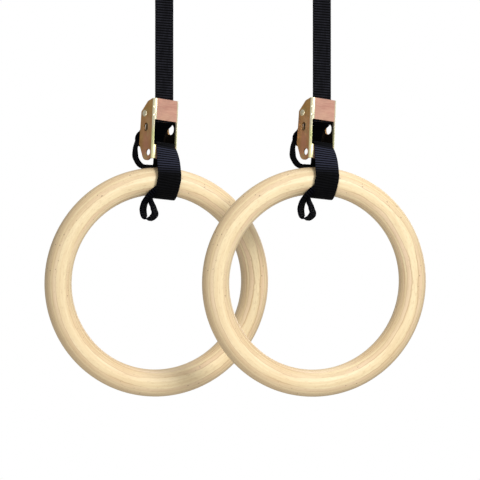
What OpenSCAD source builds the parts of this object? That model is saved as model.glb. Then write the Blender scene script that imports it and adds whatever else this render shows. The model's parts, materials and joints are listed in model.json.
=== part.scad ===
// A pair of gymnastics rings. Each unit is a plywood ring in a webbing sling, a cam buckle above it,
// and a strap that ends in a sewn hanging loop. Millimetres, +Z up, the origin midway between the loops.

/* [Ring] */
// Clear diameter inside the ring
ring_hole = 180; // [170:1:190]
// Thickness of the round ring section
ring_tube = 28; // [26:0.5:32]
// How far the ring face is turned away from the pair's front
ring_yaw = 14; // [0:1:25]
// How far the top of the ring leans to the front
ring_lean = 8; // [0:1:15]
// Where the sling holds the ring, as an angle from its top
sling_at = 4.8; // [0:0.1:8]

/* [Webbing] */
// Width of all the webbing
web_w = 25; // [24:0.5:26]
// Thickness of all the webbing
web_t = 1.7; // [1.4:0.1:1.8]
// Direction of the webbing's width at the buckle and the hanging loop
web_yaw = 42; // [35:1:45]
// Diameter of the bar or hook that fills the hanging loop
hang_bar = 30; // [24:1:32]

/* [Buckle] */
// Outside width of the channel frame
frame_w = 34; // [33:0.5:36]
// Thickness of the frame's sheet steel
sheet = 2; // [1.8:0.1:2.2]
// Small roll of the buckle on its strap
buckle_roll = 3; // [0:1:3]
// Diameter of the cam's axle
axle_d = 4; // [3.5:0.1:4.5]

/* [Layout] */
// Distance between the two units, side to side
pair_x = 162; // [150:1:200]
// Distance between the two units, front to back
pair_y = 60; // [60:1:120]
// How much longer the right strap is set
right_drop = 5; // [0:1:10]

/* [Hidden] */
$fn = 64;

WOOD = [0.90, 0.80, 0.62];
WEBBING = [0.05, 0.05, 0.07];
THREAD = [0.12, 0.12, 0.14];
ZINC = [0.80, 0.66, 0.45];
STEEL = [0.62, 0.62, 0.62];

// Heights, down from the centre of the hanging bar
sewn_top = -30;
sewn_end = -54;
swing_z = -56;
nip_z = -177.5;
ring_z = -350;

ring_mid = (ring_hole + ring_tube) / 2;
ring_x = -8;
ring_y = 10;
roll_z = -10;
half_w = web_w / 2;
half_t = web_t / 2;
// A small overlap that joins two shapes of one solid, and a longer one for webbing
eps = 0.01;
lap = 0.5;
// Size of a row of stitches, and how far it stands out of the webbing
stitch_h = 1.2;
stitch_out = 0.3;

// The buckle in its own axes: X across, Y to its back, Z up, the strap's middle at the nip as origin
plate_y = -3.7;
frame_top = 15;
plate_end = -7;
window_end = -33;
bar_end = -47.3;
ear_back = 18.4;
ear_bend = -31.4;
bend_r = 3.5;
axle_y = 11.7;
dimple_z = [6, -2.2];
dimple_r = 2;
dimple_depth = 0.5;
inside = frame_w / 2 - sheet;
lobe = [6.3, -42];
lobe_r = 7;
eye = [4.6, -40.8];
eye_d = 7;
// The openings of the left and right ears: place, width and height
slots = [[[9.2, -14.3], 5.8, 9], [[6.6, -14], 9.5, 10.5]];
// The window runs a little into the left corner
window_left = -15.6;
window_right = 14;
axle_gap = 0.05;
head_d = 7;

// The cam and its lever
cam_w = 24;
cam_r = 9.6;
tooth = 0.8;
cam_bore = axle_d + 2 * axle_gap;
lever_w = 22;
lever_end = -21;

// The sling round the ring tube, and the rows that sew it under the buckle
wrap_gap = 3;
wrap_in = ring_tube / 2 + wrap_gap;
leg_gap = 4.5;
neck_top = 19.3;
head_gap = 0.1;
sling_rows = [-37, -40, -43];

// Moves its children to one unit's place. Side is -1 on the left and 1 on the right.
module unit(side) {
    translate([side * pair_x / 2, -side * pair_y / 2, -side * right_drop / 2])
        children();
}

module on_strap() {
    rotate([0, 0, web_yaw])
        children();
}

module on_buckle() {
    translate([0, 0, nip_z])
        rotate([0, 0, web_yaw])
            translate([0, 0, roll_z])
                rotate([0, buckle_roll, 0])
                    translate([0, 0, -roll_z])
                        children();
}

module on_ring() {
    translate([ring_x, ring_y, ring_z])
        rotate([0, 0, ring_yaw])
            rotate([ring_lean, 0, 0])
                children();
}

// X along the tube, Y to its back, Z out of the ring, at the middle of the tube under the sling
module on_tube() {
    on_ring()
        rotate([0, sling_at, 0])
            translate([0, 0, ring_mid])
                children();
}

// A profile drawn in Y and Z, made w wide along X
module across(w) {
    rotate([90, 0, 90])
        translate([0, 0, -w / 2])
            linear_extrude(w)
                children();
}

// The part of a ring band that lies between two angles below the horizontal, over the top
module over_top(r_in, r_out, a) {
    reach = 3 * r_out;
    difference() {
        circle(r_out);
        circle(r_in);
        polygon([
            [0, 0],
            [reach * cos(a), -reach * sin(a)],
            [reach, -reach],
            [-reach, -reach],
            [-reach * cos(a), -reach * sin(a)]
        ]);
    }
}

// A straight band of webbing from one point of a profile to another, lapped a little onto what it leaves
module run(a, b) {
    d = (b - a) / norm(b - a);
    n = [-d[1], d[0]] * half_t;
    start = a - d * lap;
    polygon([start - n, b - n, b + n, start + n]);
}

// Angle below the horizontal at which a line from point p touches a circle of radius r at the origin
function touch(r, p) = asin(r / norm(p)) - atan2(p[0], -p[1]);

module hanger_loop() {
    r = hang_bar / 2;
    mid = r + half_t;
    a = touch(mid, [half_t, sewn_top]);
    color(WEBBING)
        on_strap()
            across(web_w)
                union() {
                    over_top(r, r + web_t, a);
                    run([mid * cos(a), -mid * sin(a)], [half_t, sewn_top]);
                    run([-mid * cos(a), -mid * sin(a)], [-half_t, sewn_top]);
                    translate([-web_t, sewn_end])
                        square([2 * web_t, sewn_top - sewn_end + lap]);
                }
}

module stitch_row(z, w) {
    translate([-w / 2, -web_t - stitch_out, z - stitch_h / 2])
        cube([w, 2 * web_t + 2 * stitch_out, stitch_h]);
}

module hanger_stitching() {
    inset = 2.5;
    rows = 4;
    over = 5;
    first = sewn_end + inset;
    step = (sewn_top - sewn_end - 2 * inset) / (rows - 1);
    color(THREAD)
        on_strap()
            difference() {
                for (i = [0:rows - 1])
                    stitch_row(first + i * step, web_w - 2 * inset);
                translate([-web_w, -web_t, sewn_end - over])
                    cube([2 * web_w, 2 * web_t, sewn_top - sewn_end + 2 * over]);
            }
}

// The strap, from just under the sewn loop to just under the buckle's front plate
module strap() {
    gap = 1;
    low = nip_z + plate_end - gap;
    color(WEBBING)
        on_strap()
            translate([-half_w, -half_t, low])
                cube([web_w, web_t, swing_z - gap - low]);
}

// Plan of the channel: a front plate and two ears, bent with a round corner
module channel_plan() {
    back = ear_back + 1;
    difference() {
        union() {
            translate([-frame_w / 2, plate_y + bend_r])
                square([frame_w, back - plate_y - bend_r]);
            translate([-frame_w / 2 + bend_r, plate_y])
                square([frame_w - 2 * bend_r, bend_r + 1]);
            for (s = [-1, 1])
                translate([s * (frame_w / 2 - bend_r), plate_y + bend_r])
                    circle(bend_r);
        }
        union() {
            translate([-inside, plate_y + bend_r])
                square([2 * inside, back]);
            translate([-inside + bend_r - sheet, plate_y + sheet])
                square([2 * (inside - bend_r + sheet), bend_r]);
            for (s = [-1, 1])
                translate([s * (frame_w / 2 - bend_r), plate_y + bend_r])
                    circle(bend_r - sheet);
        }
    }
}

// Side outline of an ear, drawn in Y and Z
module ear_outline() {
    foot = [for (a = [-20:-11:-130]) lobe + lobe_r * [cos(a), sin(a)]];
    polygon(concat([
        [plate_y - 1, bar_end],
        [plate_y - 1, frame_top],
        [plate_y + 4, frame_top],
        [plate_y + 11, frame_top - 2.5],
        [plate_y + 20.7, frame_top - 13],
        [ear_back, ear_bend]
    ], foot));
}

module long_slot(w, h) {
    union() {
        square([w, h - w], center = true);
        for (s = [-1, 1])
            translate([0, s * (h - w) / 2])
                circle(w / 2);
    }
}

module buckle_frame() {
    stock_low = -60;
    stock_h = 80;
    over = 5;
    // How far a dimple's centre lies out of the corner's own, each way
    out = (bend_r + dimple_r - dimple_depth) / sqrt(2);
    color(ZINC)
        on_buckle()
            difference() {
                intersection() {
                    translate([0, 0, stock_low])
                        linear_extrude(stock_h)
                            channel_plan();
                    across(frame_w + 2)
                        ear_outline();
                }
                translate([window_left, plate_y - over, window_end])
                    cube([window_right - window_left, bend_r + over, plate_end - window_end]);
                for (i = [0, 1])
                    translate([(2 * i - 1) * frame_w / 2, 0, 0])
                        across(4 * sheet)
                            translate(slots[i][0])
                                long_slot(slots[i][1], slots[i][2]);
                across(frame_w + 2)
                    translate(eye)
                        circle(eye_d / 2);
                across(frame_w + 2)
                    translate([axle_y, 0])
                        circle(axle_d / 2);
                for (side = [-1, 1], z = dimple_z)
                    translate([side * (frame_w / 2 - bend_r + out), plate_y + bend_r - out, z])
                        sphere(dimple_r, $fn = 32);
            }
}

// A round pin through both ears, with a shallow domed head on each side
module axle_rivet() {
    dome = 1.6;
    r = (head_d * head_d / 4 + dome * dome) / (2 * dome);
    color(STEEL)
        on_buckle()
            translate([0, axle_y, 0])
                rotate([0, 90, 0])
                    union() {
                        cylinder(h = frame_w + 2 * eps, d = axle_d, center = true);
                        for (s = [0, 1])
                            mirror([0, 0, s])
                                translate([0, 0, frame_w / 2])
                                    intersection() {
                                        translate([0, 0, dome - r])
                                            sphere(r);
                                        cylinder(h = dome, d = head_d);
                                    }
                    }
}

// The toothed face that grips the strap, as a sector round the axle
module cam_face() {
    teeth = 7;
    half = 30;
    step = 2 * half / (2 * teeth);
    arc = [for (i = [0:2 * teeth])
        let (a = 180 - half + i * step, r = cam_r + (i % 2) * tooth)
            r * [cos(a), sin(a)]];
    polygon(concat([[0, -4], [0, 4]], arc));
}

// The lever that runs down between the ears, with its tip turned out for a finger
module lever_outline() {
    polygon([
        [-3, -3],
        [4, 0],
        [5, lever_end + 5],
        [9.5, lever_end + 1],
        [8.5, lever_end - 0.5],
        [2.5, lever_end + 3.5]
    ]);
}

module cam_lever() {
    hub_r = 5.2;
    coil_room = 4;
    room_r = 4.2;
    color(ZINC)
        on_buckle()
            translate([0, axle_y, 0])
                difference() {
                    union() {
                        across(cam_w)
                            circle(hub_r);
                        across(cam_w)
                            cam_face();
                        across(lever_w)
                            lever_outline();
                    }
                    across(cam_w + 2)
                        circle(cam_bore / 2);
                    across(2 * coil_room)
                        circle(room_r);
                    translate([-coil_room, 0, -room_r])
                        cube([2 * coil_room, 12, 2 * room_r + 2]);
                }
}

// Turns of the return spring round the axle, with one short leg behind the lever
module cam_spring() {
    wire = 1;
    pitch = 0.9;
    turns = 7;
    coil_r = 3.1;
    leg = 5;
    color(STEEL)
        on_buckle()
            translate([0, axle_y, 0])
                union() {
                    for (i = [0:turns - 1])
                        translate([(i - (turns - 1) / 2) * pitch, 0, 0])
                            rotate([0, 90, 0])
                                rotate_extrude()
                                    translate([coil_r, 0])
                                        circle(wire / 2);
                    translate([0, coil_r, 0])
                        cylinder(h = leg, d = wire);
                }
}

// Webbing over the frame's lower bar, with its two ends hanging below it
module sling_head() {
    front = plate_y - head_gap;
    back = plate_y + sheet + head_gap;
    top = window_end + head_gap;
    low = bar_end - 0.5;
    color(WEBBING)
        on_buckle()
            across(web_w)
                difference() {
                    translate([front - web_t, low])
                        square([back - front + 2 * web_t, top + web_t - low]);
                    translate([front, low - 1])
                        square([back - front, top - low + 1]);
                }
}

// Profile of the sling round the tube: an open band with two legs up to the neck
module sling_profile() {
    mid = wrap_in + half_t;
    a = touch(mid, [leg_gap / 2, -neck_top]);
    rotate(180)
        union() {
            over_top(wrap_in, wrap_in + web_t, a);
            for (s = [-1, 1])
                run([s * mid * cos(a), -mid * sin(a)], [s * leg_gap / 2, -neck_top]);
        }
}

module sling() {
    color(WEBBING)
        on_tube()
            across(web_w)
                sling_profile();
}

// Rows of stitches on the inner leg of the sling head, between the ears
module sling_stitching() {
    inset = 2;
    face_y = plate_y + sheet + head_gap + web_t;
    color(THREAD)
        on_buckle()
            for (z = sling_rows)
                translate([-half_w + inset, face_y, z])
                    cube([web_w - 2 * inset, stitch_out, stitch_h]);
}

module ring() {
    color(WOOD)
        on_ring()
            rotate([90, 0, 0])
                rotate_extrude($fn = 128)
                    translate([ring_mid, 0])
                        circle(ring_tube / 2);
}

// A flat band swept along points p, with its width along w and its width's size in s
module ribbon(p, w, s) {
    last = len(p) - 1;
    along = [for (i = [0:last]) unit_of(p[min(i + 1, last)] - p[max(i - 1, 0)])];
    side = [for (i = [0:last]) unit_of(w[i] - (w[i] * along[i]) * along[i])];
    face = [for (i = [0:last]) cross(side[i], along[i])];
    corners = [for (i = [0:last]) for (c = [[-1, -1], [1, -1], [1, 1], [-1, 1]])
        p[i] + side[i] * (c[0] * s[i] / 2) + face[i] * (c[1] * half_t)];
    sides = [for (i = [0:last - 1]) for (k = [0:3])
        let (a = 4 * i + k, b = 4 * i + (k + 1) % 4)
            each [[a, b, b + 4], [a, b + 4, a + 4]]];
    end = 4 * last;
    ends = [[2, 1, 0], [3, 2, 0], [end, end + 1, end + 2], [end, end + 2, end + 3]];
    polyhedron(corners, concat(sides, ends));
}

function unit_of(v) = v / norm(v);

// Horizontal direction at an angle from the pair's X
function heading(a) = [cos(a), sin(a), 0];

// The loose tail, from under the cam, out below the lever, up behind it and down the left side.
// Each row is a point, then the direction of the width and the width.
tail_route = [
    [[0, 0, -186.5], 42, 25],
    [[-1.6, 1.8, -189], 45, 25],
    [[-3.9, 4.3, -191.8], 50, 25],
    [[-5.8, 6.4, -196], 56, 25],
    [[-7, 7.8, -201], 60, 25],
    [[-8.8, 10, -205.6], 60, 25],
    [[-12, 14, -208.7], 58, 25],
    [[-17, 21, -209], 56, 25],
    [[-20.5, 28.5, -205], 58, 25],
    [[-21, 34, -199.5], 68, 25],
    [[-20.4, 36.4, -194], 80, 25],
    [[-20.5, 37, -190.4], 88, 25],
    [[-22.2, 37, -188.3], 92, 25],
    [[-24.1, 36.4, -190.3], 95, 25],
    [[-25.5, 34.6, -194.5], 97, 25],
    [[-27.4, 31.6, -200.2], 99, 25],
    [[-29.2, 28, -207.5], 100, 25],
    [[-29.6, 23.8, -216], 101, 25],
    [[-26.5, 20, -224.5], 101, 24],
    [[-21, 17, -229], 101, 22],
    [[-14, 14.5, -230], 101, 18],
    [[-7.5, 13.5, -230.5], 101, 14]
];

// The tail's end, folded into a loop that hangs from under the sling
tail_end_route = [
    [[-10, -19.3, -258], 14, 6],
    [[-12.5, -19.6, -260.5], 40, 9],
    [[-16.8, -19.3, -265.5], 65, 15],
    [[-20.2, -17.8, -271], 75, 22],
    [[-21.6, -16.5, -278], 75, 25],
    [[-19.3, -16, -286.2], 75, 25],
    [[-14.4, -16, -286.6], 75, 25],
    [[-9.6, -16, -282], 75, 25],
    [[-10.9, -16.5, -276], 75, 24],
    [[-13.2, -18, -270], 75, 19],
    [[-14.6, -20.4, -266.5], 70, 12]
];

module routed(route) {
    ribbon([for (r = route) r[0]], [for (r = route) heading(r[1])], [for (r = route) r[2]]);
}

module tail() {
    color(WEBBING)
        routed(tail_route);
}

module tail_end() {
    color(WEBBING)
        routed(tail_end_route);
}

unit(-1) hanger_loop();  // left_hanger_loop
unit(-1) hanger_stitching();  // left_hanger_stitching
unit(-1) strap();  // left_strap
unit(-1) buckle_frame();  // left_buckle_frame
unit(-1) axle_rivet();  // left_axle_rivet
unit(-1) cam_lever();  // left_cam_lever
unit(-1) cam_spring();  // left_cam_spring
unit(-1) sling_head();  // left_sling_head
unit(-1) sling();  // left_sling
unit(-1) sling_stitching();  // left_sling_stitching
unit(-1) ring();  // left_ring
unit(-1) tail();  // left_tail
unit(-1) tail_end();  // left_tail_end
unit(1) hanger_loop();  // right_hanger_loop
unit(1) hanger_stitching();  // right_hanger_stitching
unit(1) strap();  // right_strap
unit(1) buckle_frame();  // right_buckle_frame
unit(1) axle_rivet();  // right_axle_rivet
unit(1) cam_lever();  // right_cam_lever
unit(1) cam_spring();  // right_cam_spring
unit(1) sling_head();  // right_sling_head
unit(1) sling();  // right_sling
unit(1) sling_stitching();  // right_sling_stitching
unit(1) ring();  // right_ring
unit(1) tail();  // right_tail
unit(1) tail_end();  // right_tail_end
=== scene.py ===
import json
import math

import bpy
import bmesh
from mathutils import Matrix, Vector


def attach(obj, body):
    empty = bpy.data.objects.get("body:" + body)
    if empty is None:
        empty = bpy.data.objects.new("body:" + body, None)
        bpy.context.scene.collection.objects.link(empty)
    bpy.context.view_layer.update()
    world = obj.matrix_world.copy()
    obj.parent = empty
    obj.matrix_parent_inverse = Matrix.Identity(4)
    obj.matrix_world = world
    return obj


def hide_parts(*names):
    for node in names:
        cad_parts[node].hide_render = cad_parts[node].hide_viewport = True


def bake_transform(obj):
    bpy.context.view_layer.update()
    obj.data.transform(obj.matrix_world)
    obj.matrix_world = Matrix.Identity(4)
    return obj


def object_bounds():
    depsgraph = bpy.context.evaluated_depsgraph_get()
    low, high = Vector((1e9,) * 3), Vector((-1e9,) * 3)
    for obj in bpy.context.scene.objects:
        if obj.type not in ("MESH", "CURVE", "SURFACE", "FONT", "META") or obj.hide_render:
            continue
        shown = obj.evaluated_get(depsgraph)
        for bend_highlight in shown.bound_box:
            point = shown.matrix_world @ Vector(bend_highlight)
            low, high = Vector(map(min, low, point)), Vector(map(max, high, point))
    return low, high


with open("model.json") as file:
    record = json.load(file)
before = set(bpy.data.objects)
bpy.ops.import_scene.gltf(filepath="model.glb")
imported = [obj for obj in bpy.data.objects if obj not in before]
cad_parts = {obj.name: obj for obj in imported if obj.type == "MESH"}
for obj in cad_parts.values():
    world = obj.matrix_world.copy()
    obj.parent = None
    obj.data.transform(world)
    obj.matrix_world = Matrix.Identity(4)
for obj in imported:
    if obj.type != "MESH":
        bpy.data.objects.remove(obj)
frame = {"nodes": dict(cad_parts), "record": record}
cad_low, cad_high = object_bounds()

# All lengths below are in millimetres, as in the CAD source, until MM turns them into metres.
MM = 0.001
SIDES = ("left", "right")
MOUNTS = {m["name"]: m for m in frame["record"]["mounts"]}

# Webbing: its width, its thickness, and the turn of its flat side from the front
WEB_W = 25.0
WEB_T = 1.7
WEB_YAW = 42.0
HALF_T = WEB_T / 2
# From rib to rib, from yarn to yarn across it and along it, and the depth between ribs
RIB = 2.67
YARN = 0.85
WEFT = 0.65
RIB_DEPTH = 0.45
# Rows of points that shape one rib
RIB_ROWS = 10
# One unit of the weave's UV map, in millimetres
UV_UNIT = 100
# The length of one stitch
STITCH = 2.6

# The webbing's darkest colour, its usual one and the grey it is worn to
WEB_TONES = ((0.0024, 0.0024, 0.0036), (0.0165, 0.0166, 0.0235), (0.036, 0.037, 0.052))
# The tail's colours are the strap's made darker: painted shade on the same webbing
TAIL_SHADED_TONES = ((0.0012, 0.0012, 0.0020), (0.0058, 0.0062, 0.0110), (0.0110, 0.0120, 0.0210))
SLING_TONES = ((0.0005, 0.0005, 0.0007), (0.0036, 0.0036, 0.0048), (0.0078, 0.0080, 0.0105))

# The hanging bar's radius, and heights from its middle down one unit
BAR_R = 15.0
SPLIT_Z = -23.0
SEWN_TOP = -30.0
SEWN_END = -54.0
SWING_Z = -56.0
HANGER_END = -70.0
NIP_Z = -177.5
STRAP_END = -186.0

# Buckle, in its own axes: the lower bar runs from the window's end to the bar's end
ROLL = 3.0
ROLL_Z = -10.0
FRAME_W = 34.0
PLATE_Y = -3.7
SHEET = 2.0
LEVER_W = 22.0
WINDOW_END = -33.0
BAR_END = -47.3
# The sling lies a little to the left on the lower bar
SLING_X = -0.9
# A gap that keeps webbing just clear of what it lies on
GAP = 0.12

# Ring
RING_HOLE = 180.0
RING_TUBE = 28.0
RING_YAW = 14.0
RING_LEAN = 8.0
RING_AT = Vector((-8, 10, -350))
RING_MID = (RING_HOLE + RING_TUBE) / 2
PLIES = 14
# The sling's place round the ring, in degrees from its top
SLING_AT = 4.8
WRAP_R = RING_TUBE / 2 + 3 + HALF_T
# Angle from the tube's top to the front at which the sling's front leg meets it
LEAVES_TUBE = 70

# Camera and room: all in metres but the first, which is in degrees
VIEW_UP = -5.0
VIEW_FAR = 22.0
VIEW_WIDE = 0.493
VIEW_AT = Vector((-0.003, 0, -0.3075))
RING_ABOVE_FLOOR = 2.8
FLOOR_HALF = 14


def turn(axis, degrees):
    return Matrix.Rotation(math.radians(degrees), 4, axis)


def move(*v):
    return Matrix.Translation(Vector(v))


def unit_at(side):
    """The middle of a unit's hanging bar."""
    return Vector(MOUNTS[side + "_hanger"]["pos_m"]) / MM


BUCKLE = move(0, 0, NIP_Z) @ turn("Z", WEB_YAW) @ move(0, 0, ROLL_Z) @ turn("Y", ROLL) @ move(0, 0, -ROLL_Z)
RING = Matrix.Translation(RING_AT) @ turn("Z", RING_YAW) @ turn("X", RING_LEAN)
TUBE = RING @ turn("Y", SLING_AT) @ move(0, 0, RING_MID)


def heading(degrees):
    a = math.radians(degrees)
    return Vector((math.cos(a), math.sin(a), 0))


# ---------------------------------------------------------------- camera and light

def add_camera():
    data = bpy.data.cameras.new("camera")
    cam = bpy.data.objects.new("camera", data)
    bpy.context.scene.collection.objects.link(cam)
    e = math.radians(VIEW_UP)
    back = Vector((0, -math.cos(e), math.sin(e)))
    cam.location = VIEW_AT + back * VIEW_FAR
    cam.rotation_euler = (-back).to_track_quat("-Z", "Y").to_euler()
    data.sensor_width = 36
    data.lens = data.sensor_width * VIEW_FAR / VIEW_WIDE
    data.clip_start = 1
    data.clip_end = 200
    bpy.context.scene.camera = cam


def add_light(name, at, size, watts, colour=(1, 1, 1)):
    data = bpy.data.lights.new(name, "AREA")
    data.shape = "DISK"
    data.size = size
    data.energy = watts
    data.color = colour
    lamp = bpy.data.objects.new(name, data)
    lamp.location = at
    lamp.rotation_euler = (VIEW_AT - Vector(at)).to_track_quat("-Z", "Y").to_euler()
    bpy.context.scene.collection.objects.link(lamp)


def add_room():
    world = bpy.data.worlds.new("room")
    bpy.context.scene.world = world
    world.use_nodes = True
    nt = world.node_tree
    shade = nt.nodes["Background"]
    seen = nt.nodes.new("ShaderNodeBackground")
    seen.inputs["Color"].default_value = (1, 1, 1, 1)
    seen.inputs["Strength"].default_value = 1.0
    shade.inputs["Color"].default_value = (1.0, 0.99, 0.98, 1)
    shade.inputs["Strength"].default_value = 0.42
    path = nt.nodes.new("ShaderNodeLightPath")
    mix = nt.nodes.new("ShaderNodeMixShader")
    nt.links.new(path.outputs["Is Camera Ray"], mix.inputs["Fac"])
    nt.links.new(shade.outputs[0], mix.inputs[1])
    nt.links.new(seen.outputs[0], mix.inputs[2])
    nt.links.new(mix.outputs[0], nt.nodes["World Output"].inputs["Surface"])
    add_light("key", (1.4, -2.4, 0.6), 1.2, 70, (1, 0.985, 0.955))
    add_light("fill", (-0.6, -2.2, -1.6), 1.2, 16, (1, 0.985, 0.96))
    add_light("top", (0.5, 0.3, 1.7), 1.2, 24)
    add_light("rear", (1.1, 2.6, 0.5), 1.6, 10, (1, 0.985, 0.96))
    view = bpy.context.scene.view_settings
    view.view_transform = "Standard"
    view.look = "None"
    floor_z = cad_low.z - RING_ABOVE_FLOOR
    mesh = bpy.data.meshes.new("floor")
    corners = [(FLOOR_HALF * x, FLOOR_HALF * y, floor_z) for x, y in ((-1, -1), (1, -1), (1, 1), (-1, 1))]
    mesh.from_pydata(corners, [], [(0, 1, 2, 3)])
    floor = bpy.data.objects.new("floor", mesh)
    bpy.context.scene.collection.objects.link(floor)
    floor.data.materials.append(plain_floor())


# ---------------------------------------------------------------- materials

class Shader:
    """A material with short calls for its nodes. An input is a socket, a number or a colour."""

    def __init__(self, name):
        self.mat = bpy.data.materials.new(name)
        self.mat.use_nodes = True
        self.tree = self.mat.node_tree
        self.tree.nodes.clear()
        self.out = self.add("ShaderNodeOutputMaterial")
        self.bsdf = self.add("ShaderNodeBsdfPrincipled")
        self.tree.links.new(self.bsdf.outputs[0], self.out.inputs["Surface"])

    def add(self, kind, **props):
        node = self.tree.nodes.new(kind)
        for key, value in props.items():
            setattr(node, key, value)
        return node

    def put(self, socket, value):
        if isinstance(value, bpy.types.NodeSocket):
            self.tree.links.new(value, socket)
        elif isinstance(value, (tuple, list)) and len(value) == 3 and socket.type == "RGBA":
            socket.default_value = (*value, 1)
        else:
            socket.default_value = value

    def set(self, **inputs):
        for key, value in inputs.items():
            self.put(self.bsdf.inputs[key.replace("_", " ")], value)

    def math(self, operation, a, b=0.0, c=0.0):
        node = self.add("ShaderNodeMath", operation=operation)
        for socket, value in zip(node.inputs, (a, b, c)):
            self.put(socket, value)
        return node.outputs[0]

    def ramp(self, value, low, high, to_low=0.0, to_high=1.0):
        """value, smoothly mapped from low..high to to_low..to_high"""
        node = self.add("ShaderNodeMapRange", interpolation_type="SMOOTHSTEP")
        for socket, v in zip(node.inputs, (value, low, high, to_low, to_high)):
            self.put(socket, v)
        return node.outputs[0]

    def mix(self, share, a, b):
        node = self.add("ShaderNodeMix", data_type="RGBA")
        self.put(node.inputs[0], share)
        self.put(node.inputs[6], a)
        self.put(node.inputs[7], b)
        return node.outputs[2]

    def noise(self, vector, scale, detail=3.0, rough=0.5):
        node = self.add("ShaderNodeTexNoise")
        self.put(node.inputs["Vector"], vector)
        self.put(node.inputs["Scale"], scale)
        self.put(node.inputs["Detail"], detail)
        self.put(node.inputs["Roughness"], rough)
        return node.outputs["Fac"]

    def stretch(self, vector, x, y, z):
        node = self.add("ShaderNodeVectorMath", operation="MULTIPLY")
        self.put(node.inputs[0], vector)
        node.inputs[1].default_value = (x, y, z)
        return node.outputs[0]

    def local(self, matrix, side):
        """Position in metres in the axes of a piece whose place in its unit is matrix"""
        coord = self.add("ShaderNodeTexCoord")
        if matrix is None:
            return coord.outputs["Object"]
        whole = Matrix.Translation(unit_at(side)) @ matrix
        node = self.add("ShaderNodeMapping", vector_type="TEXTURE")
        self.put(node.inputs["Vector"], coord.outputs["Object"])
        node.inputs["Location"].default_value = whole.translation * MM
        node.inputs["Rotation"].default_value = whole.to_euler("XYZ")
        return node.outputs[0]

    def parts(self, vector):
        node = self.add("ShaderNodeSeparateXYZ")
        self.put(node.inputs[0], vector)
        return node.outputs

    def bump(self, height, strength, distance):
        node = self.add("ShaderNodeBump")
        node.inputs["Strength"].default_value = strength
        node.inputs["Distance"].default_value = distance
        self.put(node.inputs["Height"], height)
        self.put(self.bsdf.inputs["Normal"], node.outputs[0])


def plain_floor():
    s = Shader("floor_paint")
    spot = s.noise(s.local(None, None), 3.0)
    s.set(Base_Color=s.mix(s.ramp(spot, 0.3, 0.7), (0.80, 0.80, 0.79), (0.86, 0.86, 0.85)), Roughness=0.7)
    return s.mat


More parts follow.
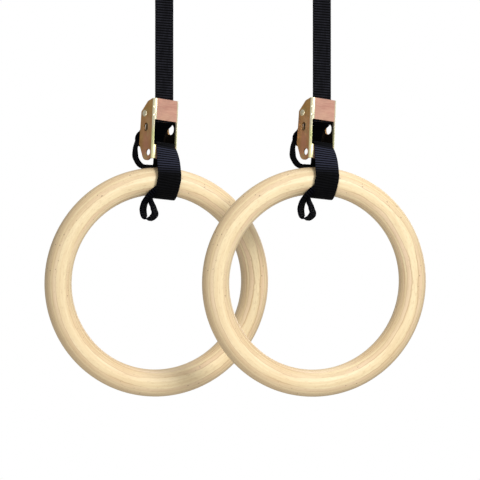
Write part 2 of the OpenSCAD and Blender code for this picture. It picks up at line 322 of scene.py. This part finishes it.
def plywood(side):
    """Birch plywood cut into a round section: veneers parallel to the ring's face, grain along the ring"""
    s = Shader(side + "_birch_plywood")
    p = s.local(RING, side)
    _, y, _ = s.parts(p)
    flat = s.stretch(p, 1, 0, 1)
    length = s.add("ShaderNodeVectorMath", operation="LENGTH")
    s.put(length.inputs[0], flat)
    unit = s.add("ShaderNodeVectorMath", operation="NORMALIZE")
    s.put(unit.inputs[0], flat)
    cos_a, _, sin_a = s.parts(unit.outputs[0])
    radius = length.outputs["Value"]

    def along(k, fine, detail=4.0, rough=0.55):
        """Noise drawn out along the ring, k cells to a radian and fine cells to a metre across it"""
        join = s.add("ShaderNodeCombineXYZ")
        for socket, value, scale in zip(join.inputs, (cos_a, sin_a, radius), (k, k, fine)):
            s.put(socket, s.math("MULTIPLY", value, scale))
        node = s.add("ShaderNodeTexNoise", noise_dimensions="4D")
        s.put(node.inputs["Vector"], join.outputs[0])
        s.put(node.inputs["W"], s.math("MULTIPLY", y, fine))
        node.inputs["Scale"].default_value = 1.0
        node.inputs["Detail"].default_value = detail
        node.inputs["Roughness"].default_value = rough
        return node.outputs["Fac"]

    bore = RING_HOLE / 2 * MM
    rim = bore + RING_TUBE * MM
    layer = RING_TUBE / PLIES * MM
    warp = s.math("MULTIPLY_ADD", s.noise(p, 13.0, 2.0), 0.0030, -0.0015)
    ripple = s.math("MULTIPLY_ADD", along(9, 60, 2.0), 0.0007, -0.00035)
    depth = s.math("ADD", y, s.math("ADD", warp, ripple))
    count = s.math("DIVIDE", s.math("ADD", depth, RING_TUBE / 2 * MM), layer)
    share = s.math("FRACT", count)
    # 0 on a face veneer, 1 on one that was laid across it
    crossed = s.ramp(s.math("PINGPONG", count, 1.0), 0.38, 0.62)
    glue = s.ramp(s.math("ABSOLUTE", s.math("SUBTRACT", share, 0.5)), 0.13, 0.0)
    grain = along(2.2, 420)
    broad = along(1.6, 95, 3.0)
    cream = s.mix(s.ramp(grain, 0.34, 0.70), (0.79, 0.665, 0.425), (0.70, 0.55, 0.33))
    honey = s.mix(s.ramp(grain, 0.3, 0.7), (0.74, 0.60, 0.39), (0.64, 0.485, 0.29))
    wood = s.mix(crossed, cream, honey)
    blush = s.ramp(broad, 0.40, 0.70, 0, 0.36)
    wood = s.mix(s.math("MULTIPLY", blush, crossed), wood, (0.78, 0.57, 0.42))
    line = s.math("MULTIPLY", glue, s.ramp(s.noise(p, 11.0, 2.0), 0.35, 0.68, 0.14, 0.80))
    wood = s.mix(line, wood, (0.40, 0.25, 0.12))
    # Short dark fibres, and a browner inner wall with the veneers' edges in it
    wood = s.mix(s.ramp(along(26, 760, 3.0), 0.50, 0.74, 0, 0.42), wood, (0.50, 0.35, 0.19))
    patch = s.ramp(s.noise(p, 8.0, 1.0), 0.42, 0.60)
    inner = s.math("MULTIPLY", s.ramp(radius, bore + 0.0075, bore + 0.0025), patch)
    edges = s.ramp(along(1.2, 900, 2.0), 0.44, 0.66, 0.04, 0.68)
    wood = s.mix(s.math("MULTIPLY", inner, edges), wood, (0.44, 0.28, 0.13))
    # The colour darkens towards the outer rim
    wood = s.mix(s.ramp(radius, rim - 0.009, rim - 0.0005, 0, 0.38), wood, (0.60, 0.43, 0.23))
    # Small dark specks, in loose groups on the crossed veneers
    speck = s.ramp(along(42, 520, 1.0), 0.67, 0.73)
    speck = s.math("MULTIPLY", speck, s.ramp(s.noise(p, 26.0, 1.0), 0.44, 0.60))
    speck = s.math("MULTIPLY", speck, crossed)
    wood = s.mix(s.math("MULTIPLY", speck, 0.8), wood, (0.13, 0.07, 0.05))
    wood = s.mix(s.ramp(s.noise(p, 6.0, 2.0), 0.45, 0.75, 0, 0.35), wood, (0.78, 0.56, 0.32))
    s.set(Base_Color=wood, Roughness=s.ramp(grain, 0.2, 0.8, 0.40, 0.56),
          Coat_Weight=0.12, Coat_Roughness=0.35)
    pores = along(20, 1500, 2.0)
    height = s.math("ADD", s.math("MULTIPLY", grain, 0.6), s.math("MULTIPLY", pores, 0.3))
    height = s.math("SUBTRACT", height, s.math("MULTIPLY", glue, 0.5))
    s.bump(height, 0.35, 0.0002)
    return s.mat


def webbing(name, dark, light, grey, painted_light_span=None, painted_shade_to=None, gloss=0.05):
    """Woven nylon. U runs across and V along, in units of UV_UNIT.

    Two places along it, if given, mark a span: it is painted navy between them, a painted highlight, and
    black before the first, a painted shade.
    One further place, if given, is how far from its start it is painted black, a painted shade where it runs
    inside the buckle."""
    s = Shader(name)
    uv = s.add("ShaderNodeUVMap", uv_map="weave").outputs[0]
    u, v, _ = s.parts(uv)
    yarn = s.math("SINE", s.math("MULTIPLY", u, 2 * math.pi * UV_UNIT / YARN))
    weft = s.math("SINE", s.math("MULTIPLY", v, 2 * math.pi * UV_UNIT / WEFT))
    fuzz = s.noise(s.stretch(uv, 900, 220, 1), 1.0, 4.0, 0.65)
    patch = s.noise(s.stretch(uv, 14, 7, 1), 1.0, 3.0)
    strand = s.noise(s.stretch(uv, 160, 6, 1), 1.0, 2.0)
    black = (0.0006, 0.0006, 0.0008)
    tone = s.mix(s.ramp(fuzz, 0.35, 0.75), dark, light)
    tone = s.mix(s.ramp(strand, 0.45, 0.75, 0, 0.5), tone, grey)
    tone = s.mix(s.ramp(patch, 0.4, 0.8, 0, 0.35), tone, grey)
    if painted_light_span:
        start, stop = painted_light_span
        # Painted highlight: navy between the two places; painted shade: black before the first
        tone = s.mix(s.ramp(v, stop + 0.02, stop - 0.12, 0, 0.85), tone, (0.030, 0.033, 0.057))
        tone = s.mix(s.ramp(v, start + 0.012, start - 0.012, 0, 0.95), tone, black)
    # Painted shade: black from its start up to the given place, where it runs inside the buckle
    if painted_shade_to:
        tone = s.mix(s.ramp(v, painted_shade_to + 0.06, painted_shade_to - 0.06, 0, 0.85), tone, black)
    rib = s.math("ABSOLUTE", s.math("SINE", s.math("MULTIPLY", v, math.pi * UV_UNIT / RIB)))
    # Painted shade: near black in the grooves between ribs
    tone = s.mix(s.ramp(rib, 0.46, 1.0, 1.0, 0), tone, (0.0004, 0.0004, 0.0006))
    s.set(Base_Color=tone, Roughness=s.ramp(fuzz, 0.2, 0.8, 0.66, 0.86), Specular_IOR_Level=gloss,
          Sheen_Weight=gloss * 0.6, Sheen_Roughness=0.4, Sheen_Tint=(0.55, 0.6, 0.8, 1))
    height = s.math("MULTIPLY", s.math("ADD", yarn, s.math("MULTIPLY", weft, 0.5)), 0.5)
    height = s.math("ADD", height, s.math("MULTIPLY", fuzz, 0.8))
    s.bump(height, 0.5, 0.00022)
    return s.mat


def thread_nylon():
    """Dark sewing thread with a fine twist"""
    s = Shader("bonded_thread")
    p = s.local(None, None)
    twist = s.noise(s.stretch(p, 2500, 2500, 2500), 1.0, 2.0)
    s.set(Base_Color=s.mix(twist, (0.02, 0.02, 0.026), (0.07, 0.07, 0.085)), Roughness=0.5,
          Sheen_Weight=0.2, Sheen_Roughness=0.4)
    s.bump(twist, 0.4, 0.0001)
    return s.mat


def zinc_noises(s, p):
    """Small clouds, broad clouds, and streaks along the rolled sheet"""
    streak = s.noise(s.stretch(p, 60, 500, 900), 1.0, 4.0, 0.6)
    return s.noise(p, 90.0, 4.0, 0.6), s.noise(p, 34.0, 2.0), streak


def gold_brown(s, p, cloud, broad):
    """The passivated zinc's colour on the ears and the lever, with rose and olive clouds in it"""
    tone = s.mix(s.ramp(cloud, 0.3, 0.7), (0.54, 0.315, 0.11), (0.40, 0.215, 0.07))
    tone = s.mix(s.ramp(broad, 0.5, 0.75, 0, 0.5), tone, (0.58, 0.25, 0.19))
    olive = s.ramp(s.noise(s.stretch(p, 1, 1, 0.6), 60.0, 2.0), 0.55, 0.75, 0, 0.5)
    return s.mix(olive, tone, (0.55, 0.50, 0.20))


def brushed(s, p, metal, cloud, streak):
    """Finishes a zinc plated material: its gloss, and fine scratches along the sheet"""
    scratch = s.noise(s.stretch(p, 120, 1600, 300), 1.0, 2.0)
    rough = s.math("ADD", s.ramp(cloud, 0.3, 0.7, 0.30, 0.44), s.math("MULTIPLY", scratch, 0.06))
    s.set(Base_Color=metal, Metallic=0.72, Roughness=rough, Specular_IOR_Level=0.5)
    s.bump(s.math("ADD", streak, s.math("MULTIPLY", scratch, 0.5)), 0.12, 0.0002)
    return s.mat


def lever_zinc(side):
    """The cam lever: gold-brown, and rubbed brighter on its finger tip and teeth

    Places are in metres, in the buckle's axes."""
    s = Shader(side + "_lever_zinc")
    p = s.local(BUCKLE, side)
    x, y, z = s.parts(p)
    cloud, broad, streak = zinc_noises(s, p)
    tone = s.mix(0.35, gold_brown(s, p, cloud, broad), (0.74, 0.60, 0.34))
    tip = s.math("MULTIPLY", s.ramp(z, -0.0150, -0.0190), s.ramp(y, 0.0160, 0.0190))
    teeth = s.ramp(y, 0.0050, 0.0030)
    worn = s.math("MULTIPLY", s.math("MAXIMUM", tip, teeth), s.ramp(cloud, 0.3, 0.6, 0.4, 0.9))
    metal = s.mix(worn, tone, (0.66, 0.64, 0.58))
    # The cheeks are painted near black where they turn between the ears: painted shade
    half = LEVER_W / 2 * MM
    aside = s.math("ABSOLUTE", x)
    cheek_shade = s.math("MULTIPLY", s.ramp(aside, half - 0.0005, half - 0.0002), s.ramp(y, 0.0165, 0.0140))
    return brushed(s, p, s.mix(s.math("MULTIPLY", cheek_shade, 0.94), metal, (0.016, 0.014, 0.011)), cloud, streak)


def passivated(side):
    """Yellow-passivated zinc: salmon on the plate, gold-brown on the ears, and on the bends a painted
    highlight in the zinc's cream to green tints; the inside of the channel is painted near black as painted
    shade

    Places are in metres, in the buckle's axes."""
    s = Shader(side + "_passivated_zinc")
    p = s.local(BUCKLE, side)
    x, y, z = s.parts(p)
    aside = s.math("ABSOLUTE", x)
    half = FRAME_W / 2 * MM
    front = PLATE_Y * MM
    cloud, broad, streak = zinc_noises(s, p)
    plate = s.mix(s.ramp(streak, 0.35, 0.7), (0.86, 0.50, 0.38), (0.72, 0.36, 0.28))
    plate = s.mix(s.ramp(broad, 0.45, 0.75, 0, 0.6), plate, (0.83, 0.55, 0.38))
    ear = gold_brown(s, p, cloud, broad)
    # Painted highlight on the bends, in the passivation's cream and green tints
    cream = s.mix(s.ramp(cloud, 0.35, 0.7), (0.95, 0.90, 0.66), (0.86, 0.80, 0.52))
    green = s.mix(s.ramp(cloud, 0.35, 0.7), (0.80, 0.84, 0.40), (0.88, 0.82, 0.50))
    bend_highlight = s.mix(s.ramp(z, -0.012, -0.020), cream, green)
    side_on = s.ramp(y, front + 0.0028, front + 0.0040)
    metal = s.mix(s.ramp(aside, half - 0.0038, half - 0.0028), plate, bend_highlight)
    metal = s.mix(s.math("MULTIPLY", side_on, s.ramp(aside, half - 0.005, half - 0.0035)), metal, ear)
    # The inside of the channel is painted near black: painted shade
    ear_in = half - SHEET * MM
    plate_in = front + SHEET * MM
    channel_shade = s.math("MULTIPLY", s.ramp(aside, ear_in + 0.00012, ear_in + 0.00002),
                    s.ramp(y, plate_in + 0.00015, plate_in + 0.00025))
    metal = s.mix(s.math("MULTIPLY", channel_shade, 0.98), metal, (0.010, 0.008, 0.007))
    return brushed(s, p, metal, cloud, streak)


def plated(name, base, tint, rough):
    """Bright zinc or wire, a little mottled"""
    s = Shader(name)
    p = s.local(None, None)
    cloud = s.noise(p, 160.0, 4.0, 0.6)
    s.set(Base_Color=s.mix(s.ramp(cloud, 0.35, 0.7), base, tint), Metallic=0.85,
          Roughness=s.ramp(cloud, 0.3, 0.7, rough, rough + 0.15))
    s.bump(s.noise(p, 900.0, 2.0), 0.15, 0.0001)
    return s.mat


# ---------------------------------------------------------------- webbing

def spline(rows, closed):
    """Points, width directions and widths along a smooth curve through the rows, at short equal steps

    The curve is a centripetal Catmull-Rom spline through all seven numbers of a row at once."""
    n = len(rows)
    count = n if closed else n - 1
    keys = [Vector((*r[0], *r[1], r[2])) for r in rows]

    def key(i):
        return keys[i % n] if closed else keys[max(0, min(n - 1, i))]

    dense = []
    cuts = 24
    step = RIB / RIB_ROWS
    for i in range(count):
        a, b, c, d = key(i - 1), key(i), key(i + 1), key(i + 2)
        if not closed and i == 0:
            a = b * 2 - c
        if not closed and i == count - 1:
            d = c * 2 - b
        knots = [0.0]
        for q, r in ((a, b), (b, c), (c, d)):
            knots.append(knots[-1] + max(1e-3, (Vector(r[:3]) - Vector(q[:3])).length) ** 0.5)
        t0, t1, t2, t3 = knots
        for k in range(cuts):
            t = t1 + (t2 - t1) * k / cuts
            ab = a * ((t1 - t) / (t1 - t0)) + b * ((t - t0) / (t1 - t0))
            bc = b * ((t2 - t) / (t2 - t1)) + c * ((t - t1) / (t2 - t1))
            cd = c * ((t3 - t) / (t3 - t2)) + d * ((t - t2) / (t3 - t2))
            abc = ab * ((t2 - t) / (t2 - t0)) + bc * ((t - t0) / (t2 - t0))
            bcd = bc * ((t3 - t) / (t3 - t1)) + cd * ((t - t1) / (t3 - t1))
            dense.append(abc * ((t2 - t) / (t2 - t1)) + bcd * ((t - t1) / (t2 - t1)))
    dense.append(keys[0] if closed else keys[-1])
    run = [0.0]
    for q, r in zip(dense, dense[1:]):
        run.append(run[-1] + (Vector(r[:3]) - Vector(q[:3])).length)
    total = run[-1]
    pieces = max(8, round(total / step))
    if closed:
        # A loop holds a whole number of ribs
        pieces = round(pieces / RIB_ROWS) * RIB_ROWS
    out, j = [], 0
    for i in range(pieces + (0 if closed else 1)):
        distance = total * i / pieces
        while j < len(run) - 2 and run[j + 1] < distance:
            j += 1
        f = (distance - run[j]) / max(1e-9, run[j + 1] - run[j])
        out.append(dense[j].lerp(dense[j + 1], f))
    return out, total


def section(width, dip):
    """The outline of webbing cut across: (offset across, offset in thickness).

    Its edges are rounded, a groove runs beside each, and dip from 0 to 1 thins it between ribs."""
    top = []
    for f in (-1, -0.97, -0.9, -0.84, -0.8, -0.6, -0.3, 0, 0.3, 0.6, 0.8, 0.84, 0.9, 0.97, 1):
        edge = max(0.0, 1 - ((abs(f) - 0.9) / 0.1) ** 2) ** 0.5 if abs(f) > 0.9 else 1.0
        groove = 0.16 if abs(abs(f) - 0.84) < 0.01 else 0.0
        rib = RIB_DEPTH * dip * min(1.0, max(0.0, (0.99 - abs(f)) / 0.12))
        top.append((f * width / 2, max(0.12, (HALF_T - groove - rib) * edge)))
    return top + [(x, -y) for x, y in reversed(top)]


def ribbon(rows, closed):
    """Ribbed webbing along rows of (point, width direction, width): its mesh, middle line and length"""
    line, total = spline(rows, closed)
    last = len(line) - 1
    verts, faces, uvs = [], [], []
    per = len(section(WEB_W, 0))
    for i, spot in enumerate(line):
        p = Vector(spot[:3])
        ahead = line[(i + 1) % len(line)] if closed else line[min(last, i + 1)]
        behind = line[i - 1] if closed else line[max(0, i - 1)]
        along = (Vector(ahead[:3]) - Vector(behind[:3])).normalized()
        width_way = Vector(spot[3:6])
        across = (width_way - along * width_way.dot(along)).normalized()
        face = across.cross(along)
        distance = total * i / (len(line) if closed else last)
        # 0 on top of a rib, 1 in the narrow groove between two
        dip = (1 - abs(math.sin(math.pi * distance / RIB))) ** 1.6
        for x, y in section(spot[6] * (1 - 0.012 * dip), dip):
            verts.append(p + across * x + face * y)
            uvs.append((x / UV_UNIT, distance / UV_UNIT))
    rings = len(line)
    for i in range(rings if closed else rings - 1):
        a, b = i * per, ((i + 1) % rings) * per
        for k in range(per):
            m = (k + 1) % per
            faces.append((a + k, a + m, b + m, b + k))
    if not closed:
        faces.append(tuple(range(per - 1, -1, -1)))
        faces.append(tuple(range((rings - 1) * per, rings * per)))
    return verts, faces, uvs, [Vector(r[:3]) for r in line], total


def make(name, verts, faces, side, material, uvs=None):
    """An object from points in a unit's own axes, in millimetres"""
    mesh = bpy.data.meshes.new(name)
    at = unit_at(side)
    mesh.from_pydata([(v + at) * MM for v in verts], [], faces)
    if uvs:
        layer = mesh.uv_layers.new(name="weave")
        for loop in mesh.loops:
            layer.data[loop.index].uv = uvs[loop.vertex_index]
    bm = bmesh.new()
    bm.from_mesh(mesh)
    bmesh.ops.recalc_face_normals(bm, faces=bm.faces)
    bm.to_mesh(mesh)
    bm.free()
    mesh.polygons.foreach_set("use_smooth", [True] * len(mesh.polygons))
    obj = bpy.data.objects.new(name, mesh)
    bpy.context.scene.collection.objects.link(obj)
    mesh.materials.append(material)
    return obj


def make_ribbon(name, rows, side, material, closed=False):
    """A piece of webbing, with its middle line and its length in millimetres"""
    verts, faces, uvs, line, length = ribbon(rows, closed)
    return make(name, verts, faces, side, material, uvs), line, length


def row(point, width_way, width=WEB_W):
    """One place along a piece of webbing"""
    return (Vector(point), Vector(width_way), width)


def hanger(side, material, thread):
    """The sewn loop and the start of the strap below it, as one length of webbing"""
    way = heading(WEB_YAW)
    front = Vector((way.y, -way.x, 0))
    mid = BAR_R + HALF_T + 0.15
    lift = HALF_T + 0.04

    def point(f, z):
        return front * f + Vector((0, 0, z))

    sewn_z = [SEWN_END + (SEWN_TOP - SEWN_END) * i / 3 for i in range(4)]
    split = mid * 0.42
    rows = [row(point(0, z), way) for z in (HANGER_END, HANGER_END + 5, SWING_Z - 4)]
    rows += [row(point(lift, z), way) for z in sewn_z]
    rows += [row(point(split, SPLIT_Z), way)]
    for degrees in range(-40, 221, 20):
        a = math.radians(degrees)
        rows.append(row(point(mid * math.cos(a), mid * math.sin(a)), way))
    rows += [row(point(-split, SPLIT_Z), way)]
    rows += [row(point(-lift, z), way) for z in sewn_z[:0:-1] + [SEWN_END + 0.5]]
    loop, _, _ = make_ribbon(side + "_hanging_loop", rows, side, material)
    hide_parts(side + "_hanger_loop")
    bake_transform(loop)
    # A box of stitches with a cross in it, on both faces
    across = WEB_W / 2 - 3.2
    low, high = SEWN_END + 2.5, SEWN_TOP - 2.5
    corners = [(-across, low), (across, low), (across, high), (-across, high)]
    lines = list(zip(corners, corners[1:] + corners[:1]))
    lines += [(corners[0], corners[2]), (corners[1], corners[3])]
    stitches = []
    for face in (front, -front):
        for ends in lines:
            a, b = (way * x + face * (WEB_T + GAP) + Vector((0, 0, z)) for x, z in ends)
            stitches += stitch_line(a, b, face)
    sewn = make_stitches(side + "_loop_stitches", stitches, side, thread)
    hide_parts(side + "_hanger_stitching")
    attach(sewn, "root")


def stitch_line(a, b, out):
    """Stitches from a to b that stand out a little from the webbing"""
    count = max(2, round((b - a).length / STITCH))
    way = (b - a) / count
    return [(a + way * (i + 0.12), a + way * (i + 0.88), out) for i in range(count)]


def make_stitches(name, stitches, side, thread):
    """Each stitch is a short bowed capsule of thread"""
    verts, faces = [], []
    thick, sides, steps = 0.36, 8, 6
    for a, b, out in stitches:
        along = (b - a).normalized()
        across = along.cross(out).normalized()
        base = len(verts)
        for i in range(steps + 1):
            f = i / steps
            fat = thick * max(0.15, math.sin(math.pi * min(0.95, max(0.05, f))) ** 0.4)
            mid = a.lerp(b, f) + out * (0.22 * math.sin(math.pi * f) - 0.12)
            for k in range(sides):
                c = 2 * math.pi * k / sides
                verts.append(mid + across * (fat * math.cos(c)) + out * (fat * math.sin(c)))
        for i in range(steps):
            for k in range(sides):
                m = (k + 1) % sides
                q = base + i * sides
                faces.append((q + k, q + m, q + sides + m, q + sides + k))
        faces.append(tuple(base + k for k in reversed(range(sides))))
        faces.append(tuple(base + steps * sides + k for k in range(sides)))
    return make(name, verts, faces, side, thread)


def strap(side, material):
    """The strap from the sewn loop down into the buckle"""
    way = heading(WEB_YAW)
    rows = [row((0, 0, z), way) for z in (HANGER_END - 0.02, -90, -120, -150, NIP_Z, STRAP_END)]
    body, _, _ = make_ribbon(side + "_strap_webbing", rows, side, material)
    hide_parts(side + "_strap")
    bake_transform(body)


# The loose tail's route, as in the CAD source: rows of point, heading of the width in degrees, width.
# It comes down from the cam, goes out behind the buckle, folds over and comes back to its left side.
TAIL_ROUTE = [
    ((0, 0, -186.5), 42, 25),
    ((-1.6, 1.8, -189), 45, 25),
    ((-3.9, 4.3, -191.8), 50, 25),
    ((-5.8, 6.4, -196), 56, 25),
    ((-7, 7.8, -201), 60, 25),
    ((-8.8, 10, -205.6), 60, 25),
    ((-12, 14, -208.7), 58, 25),
    ((-17, 21, -209), 56, 25),
    ((-20.5, 28.5, -205), 58, 25),
    ((-21, 34, -199.5), 68, 25),
    ((-20.4, 36.4, -194), 80, 25),
    ((-20.5, 37, -190.4), 88, 25),
    ((-22.2, 37, -188.3), 92, 25),
    ((-24.1, 36.4, -190.3), 95, 25),
    ((-25.5, 34.6, -194.5), 97, 25),
    ((-27.4, 31.6, -200.2), 99, 25),
    ((-29.2, 28, -207.5), 100, 25),
    ((-29.6, 23.8, -216), 101, 25),
    ((-26.5, 20, -224.5), 101, 24),
    ((-21, 17, -229), 101, 22),
    ((-14, 14.5, -230), 101, 18),
    ((-7.5, 13.5, -230.5), 101, 14),
]
# Over the tube, bunched up under the sling: places along it, and degrees from its top to the front
TAIL_ON_TUBE = ((-8.5, -18), (-8, 12), (-8.5, 45), (-9.5, 76), (-10.5, 100))
BUNCHED = 8
# The folded end that hangs below the tube
TAIL_END_ROUTE = [
    ((-10, -19.3, -258), 14, 6),
    ((-12.5, -19.6, -260.5), 40, 9),
    ((-16.8, -19.3, -265.5), 65, 15),
    ((-20.2, -17.8, -271), 75, 22),
    ((-21.6, -16.5, -278), 75, 25),
    ((-19.3, -16, -286.2), 75, 25),
    ((-14.4, -16, -286.6), 75, 25),
    ((-9.6, -16, -282), 75, 25),
    ((-10.9, -16.5, -276), 75, 24),
    ((-13.2, -18, -270), 75, 19),
    ((-14.6, -20.4, -266.5), 70, 12),
]


def on_tube(u, degrees, r):
    """A point round the tube under the sling: u along it, degrees from its top to the front"""
    a = math.radians(degrees)
    return TUBE @ Vector((u, -r * math.sin(a), r * math.cos(a)))


def along_tube():
    return (TUBE.to_3x3() @ Vector((1, 0, 0))).normalized()


def tail(side, material):
    """The tail and its folded end as one length: over the tube under the sling, and down into a loop"""
    under = RING_TUBE / 2 + 1.5
    rows = [row(p, heading(h), w) for p, h, w in TAIL_ROUTE]
    for u, degrees in TAIL_ON_TUBE:
        off = under + (0.5 if degrees < 0 else 0)
        rows.append(row(on_tube(u, degrees, off), along_tube(), BUNCHED))
    rows += [row(p, heading(h), w) for p, h, w in TAIL_END_ROUTE]
    piece, line, length = make_ribbon(side + "_tail_webbing", rows, side, material)
    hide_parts(side + "_tail", side + "_tail_end")
    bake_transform(piece)


def wrap_shift(degrees):
    """How far the sling's middle lies along the tube from its place, at an angle from the tube's top"""
    return -2.2 - 2.0 * math.sin(math.radians(max(0, min(180, degrees - 45))))


# The sling's back leg between the ring and the buckle: points, and the width's heading
BACK_LEG = (((-0.6, 3.4, -229.0), 22), ((-0.9, 0.4, -225.6), 34))
# Rows of stitches that close the sling, in the buckle's axes
SLING_ROWS = (-37, -40, -43)


def sling(side, material, thread):
    """One loop of webbing over the buckle's lower bar and round the ring"""
    bar_mid = PLATE_Y + SHEET / 2
    off = SHEET / 2 + GAP + HALF_T
    buckle_way = BUCKLE.to_3x3() @ Vector((1, 0, 0))

    def on_bar(y, z):
        return BUCKLE @ Vector((SLING_X, y, z))

    rows = []
    top = WINDOW_END + 0.1
    for degrees in range(180, -1, -30):
        a = math.radians(degrees)
        rows.append(row(on_bar(bar_mid - off * math.cos(a), top + 1.15 * off * math.sin(a)), buckle_way))
    # Front leg: the left edge runs straight to the tube while the right edge swings forward and out
    bar_edge = rows[-1][0] - buckle_way * (WEB_W / 2)
    tube_edge = on_tube(wrap_shift(LEAVES_TUBE) - WEB_W / 2, LEAVES_TUBE, WRAP_R)
    for share, turned in ((0.13, 0.28), (0.28, 0.52), (0.48, 0.76), (0.72, 0.93)):
        way = buckle_way.lerp(along_tube(), turned).normalized()
        rows.append(row(bar_edge.lerp(tube_edge, share) + way * (WEB_W / 2), way))
    for degrees in range(LEAVES_TUBE, 311, 20):
        rows.append(row(on_tube(wrap_shift(degrees), degrees, WRAP_R), along_tube()))
    # Back leg: it turns from the ring's heading to the buckle's on its way up
    rows += [row(p, heading(h)) for p, h in BACK_LEG]
    rows += [row(on_bar(bar_mid + off, BAR_END + up), buckle_way) for up in (3, 8)]
    piece, _, _ = make_ribbon(side + "_sling_webbing", rows, side, material, closed=True)
    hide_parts(side + "_sling", side + "_sling_head")
    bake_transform(piece)
    inner = PLATE_Y + SHEET + GAP + WEB_T + 0.1
    out = BUCKLE.to_3x3() @ Vector((0, 1, 0))
    stitches = []
    for z in SLING_ROWS:
        a, b = (BUCKLE @ Vector((x, inner, z)) for x in (-WEB_W / 2 + 2.5, WEB_W / 2 - 2.5))
        stitches += stitch_line(a, b, out)
    sewn = make_stitches(side + "_sling_stitches", stitches, side, thread)
    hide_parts(side + "_sling_stitching")
    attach(sewn, side + "_buckle")


# How far the ring's skin lies under its true size, and how far it is off round
UNDER = 0.03
SANDED = 0.05


def ring(side, material):
    """The ring, with its section turned very slightly off round as a sanded one is"""
    around, about = 288, 56
    verts, faces = [], []
    for i in range(around):
        a = 2 * math.pi * i / around
        for k in range(about):
            c = 2 * math.pi * k / about
            r = RING_TUBE / 2 - UNDER - SANDED * math.sin(3 * a + 1.0) * math.cos(2 * c)
            out = RING_MID + r * math.cos(c)
            verts.append(RING @ Vector((out * math.cos(a), r * math.sin(c), out * math.sin(a))))
    for i in range(around):
        for k in range(about):
            j, m = (i + 1) % around, (k + 1) % about
            faces.append((i * about + k, i * about + m, j * about + m, j * about + k))
    piece = make(side + "_plywood_ring", verts, faces, side, material)
    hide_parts(side + "_ring")
    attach(piece, side + "_ring")


def dress(node, material, width):
    """A CAD node with a finished material and its sharp edges broken"""
    obj = frame["nodes"][node]
    obj.data.materials.clear()
    obj.data.materials.append(material)
    weld = obj.modifiers.new("weld", "WELD")
    weld.merge_threshold = 1e-6
    soft = obj.modifiers.new("soft_edges", "BEVEL")
    soft.width = width * MM
    soft.segments = 2
    soft.limit_method = "ANGLE"
    soft.angle_limit = math.radians(35)
    soft.harden_normals = True


add_camera()
strap_web = webbing("webbing_black", *WEB_TONES)
tail_web = webbing("webbing_tail", *TAIL_SHADED_TONES, painted_shade_to=0.30, gloss=0.01)
sling_web = webbing("webbing_sling_painted_light", *SLING_TONES, painted_light_span=(0.10, 0.40))
thread = thread_nylon()
rivet = plated("rivet_zinc", (0.78, 0.74, 0.55), (0.62, 0.55, 0.36), 0.25)
wire = plated("spring_wire", (0.55, 0.55, 0.54), (0.42, 0.42, 0.42), 0.22)
for side in SIDES:
    tail(side, tail_web)
    hanger(side, strap_web, thread)
    strap(side, strap_web)
    sling(side, sling_web, thread)
    ring(side, plywood(side))
    dress(side + "_buckle_frame", passivated(side), 0.3)
    dress(side + "_cam_lever", lever_zinc(side), 0.25)
    dress(side + "_axle_rivet", rivet, 0.15)
    dress(side + "_cam_spring", wire, 0.02)
add_room()
